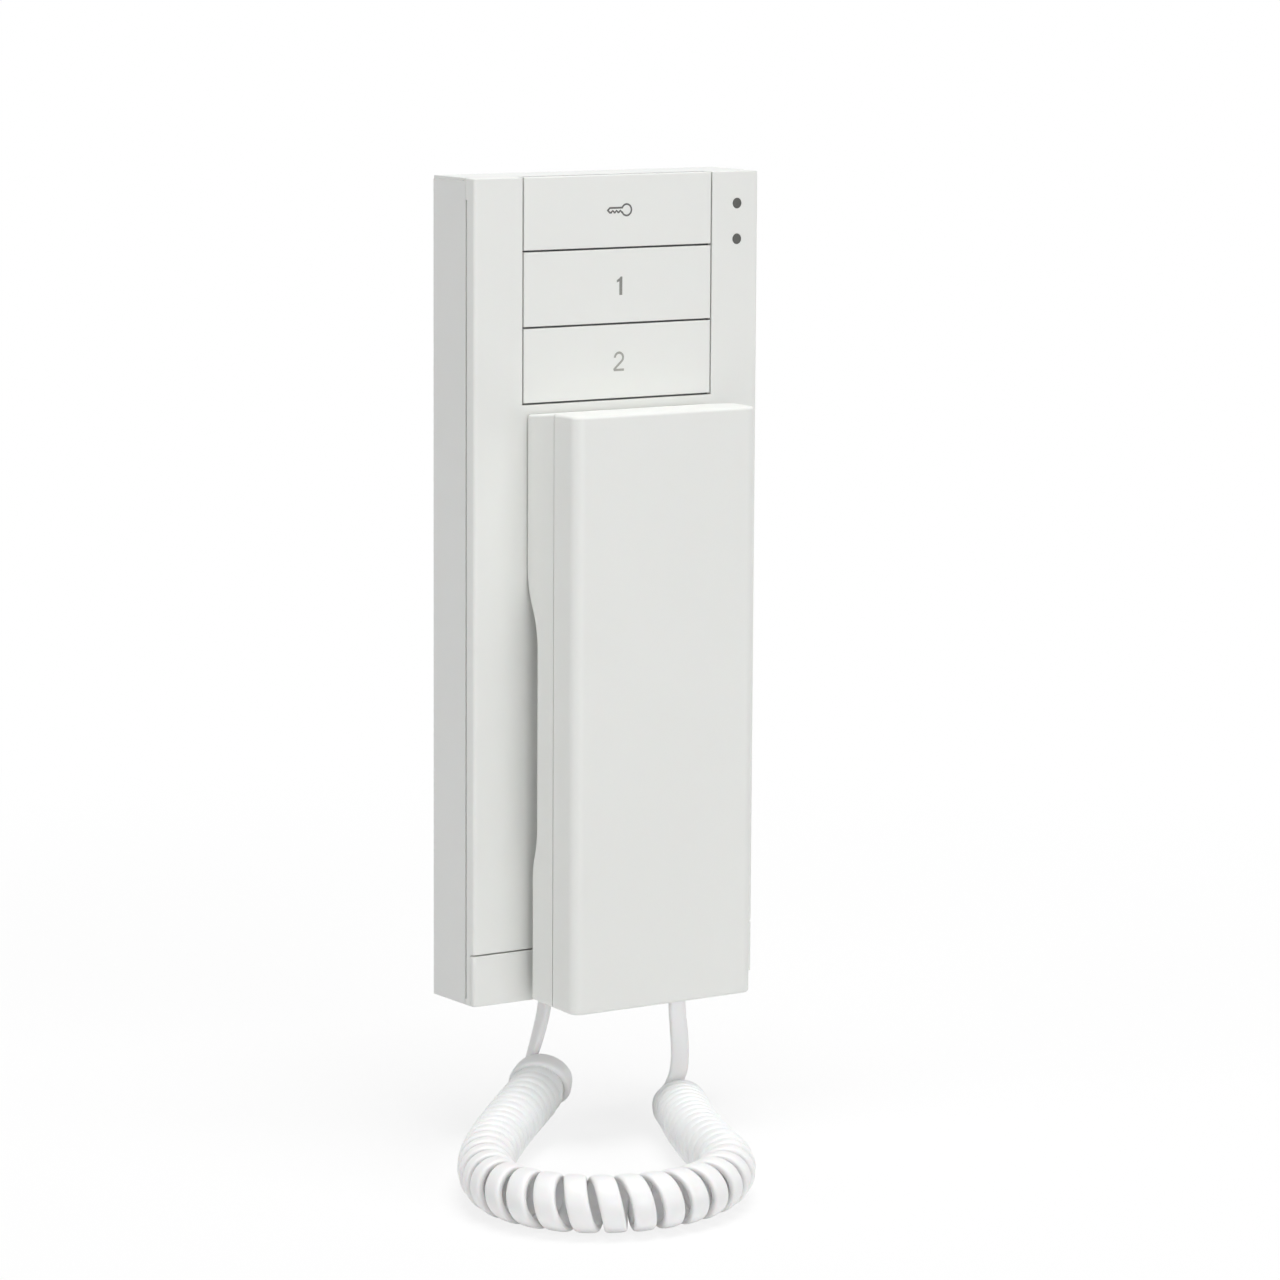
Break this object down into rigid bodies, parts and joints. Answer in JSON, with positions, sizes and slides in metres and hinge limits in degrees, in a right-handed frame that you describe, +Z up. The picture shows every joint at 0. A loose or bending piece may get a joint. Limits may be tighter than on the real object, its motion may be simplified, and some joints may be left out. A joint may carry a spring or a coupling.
{
  "type": "intercom indoor station",
  "caption": "Slim white wall-mounted audio indoor station with push buttons, two indicators and a lift-off handset on a curly cord.",
  "frame": {"origin": "middle of the wall unit's back face, in the plane of the wall", "axes": "+X to the right as seen from the front, +Y into the wall, +Z up"},
  "size_m": [0.1307, 0.1264, 0.2579],
  "materials": {
    "housing_white": "fine-textured moulded ABS, white",
    "cover_white": "fine-textured moulded ABS, white",
    "button_white": "satin moulded ABS, white",
    "mark_grey": "printed grey ink",
    "switch_black": "black moulded polyester",
    "capsule_metal": "nickel-plated steel",
    "frame_grey": "moulded polycarbonate, light grey",
    "board_green": "glass-fibre laminate with green solder mask",
    "capacitor_metal": "bare can with a black sleeve",
    "terminal_green": "moulded polyamide, green",
    "screw_steel": "zinc-plated steel",
    "led_white": "moulded epoxy",
    "pipe_smoke": "smoke-tinted clear polycarbonate",
    "bumper_rubber": "light grey silicone",
    "socket_grey": "black moulded polyamide",
    "plug_clear": "clear moulded polycarbonate",
    "cord_white": "satin extruded PVC, white",
    "wire_red": "PVC insulation"
  },
  "bodies": {
    "base": {"rear_housing": "housing_white", "front_cover": "cover_white", "lower_cover": "cover_white", "cover_screws": "screw_steel", "button_carrier": "frame_grey", "button_switches": "switch_black", "main_board": "board_green", "board_screws": "screw_steel", "board_chips": "switch_black", "board_capacitors": "capacitor_metal", "line_transformer": "switch_black", "terminal_block": "terminal_green", "terminal_screws": "screw_steel", "call_buzzer": "switch_black", "indicator_leds": "led_white", "light_pipes": "pipe_smoke", "reed_switch": "pipe_smoke", "keeper_plate": "capsule_metal", "rest_bumper": "bumper_rubber", "base_cord_socket": "socket_grey", "base_cord_plug": "plug_clear", "cord_base_end": "cord_white", "cord_coil": "cord_white"},
    "button_key_body": {"button_key": "button_white", "key_symbol": "mark_grey", "plunger_key": "switch_black"},
    "button_1_body": {"button_1": "button_white", "digit_1": "mark_grey", "plunger_1": "switch_black"},
    "button_2_body": {"button_2": "button_white", "digit_2": "mark_grey", "plunger_2": "switch_black"},
    "handset": {"handset_front_shell": "cover_white", "handset_rear_shell": "cover_white", "handset_screws": "screw_steel", "receiver_capsule": "capsule_metal", "receiver_gasket": "bumper_rubber", "microphone_capsule": "capsule_metal", "microphone_boot": "bumper_rubber", "handset_magnet": "capsule_metal", "handset_board": "board_green", "handset_board_screws": "screw_steel", "handset_cord_socket": "socket_grey", "handset_cord_plug": "plug_clear", "handset_wires": "wire_red", "cord_handset_end": "cord_white"}
  },
  "joints": [
    {"name": "button_key_press", "type": "slide", "parent": "base", "child": "button_key_body", "axis": [0, 1, 0], "range_m": [0, 0.0008], "stiffness_N_per_m": 900, "springref_m": -0.0008},
    {"name": "button_1_press", "type": "slide", "parent": "base", "child": "button_1_body", "axis": [0, 1, 0], "range_m": [0, 0.0008], "stiffness_N_per_m": 900, "springref_m": -0.0008},
    {"name": "button_2_press", "type": "slide", "parent": "base", "child": "button_2_body", "axis": [0, 1, 0], "range_m": [0, 0.0008], "stiffness_N_per_m": 900, "springref_m": -0.0008},
    {"name": "handset_lift", "type": "slide", "parent": "base", "child": "handset", "axis": [0, -1, 0], "range_m": [0, 0.05], "deforming": ["cord_coil"]}
  ]
}
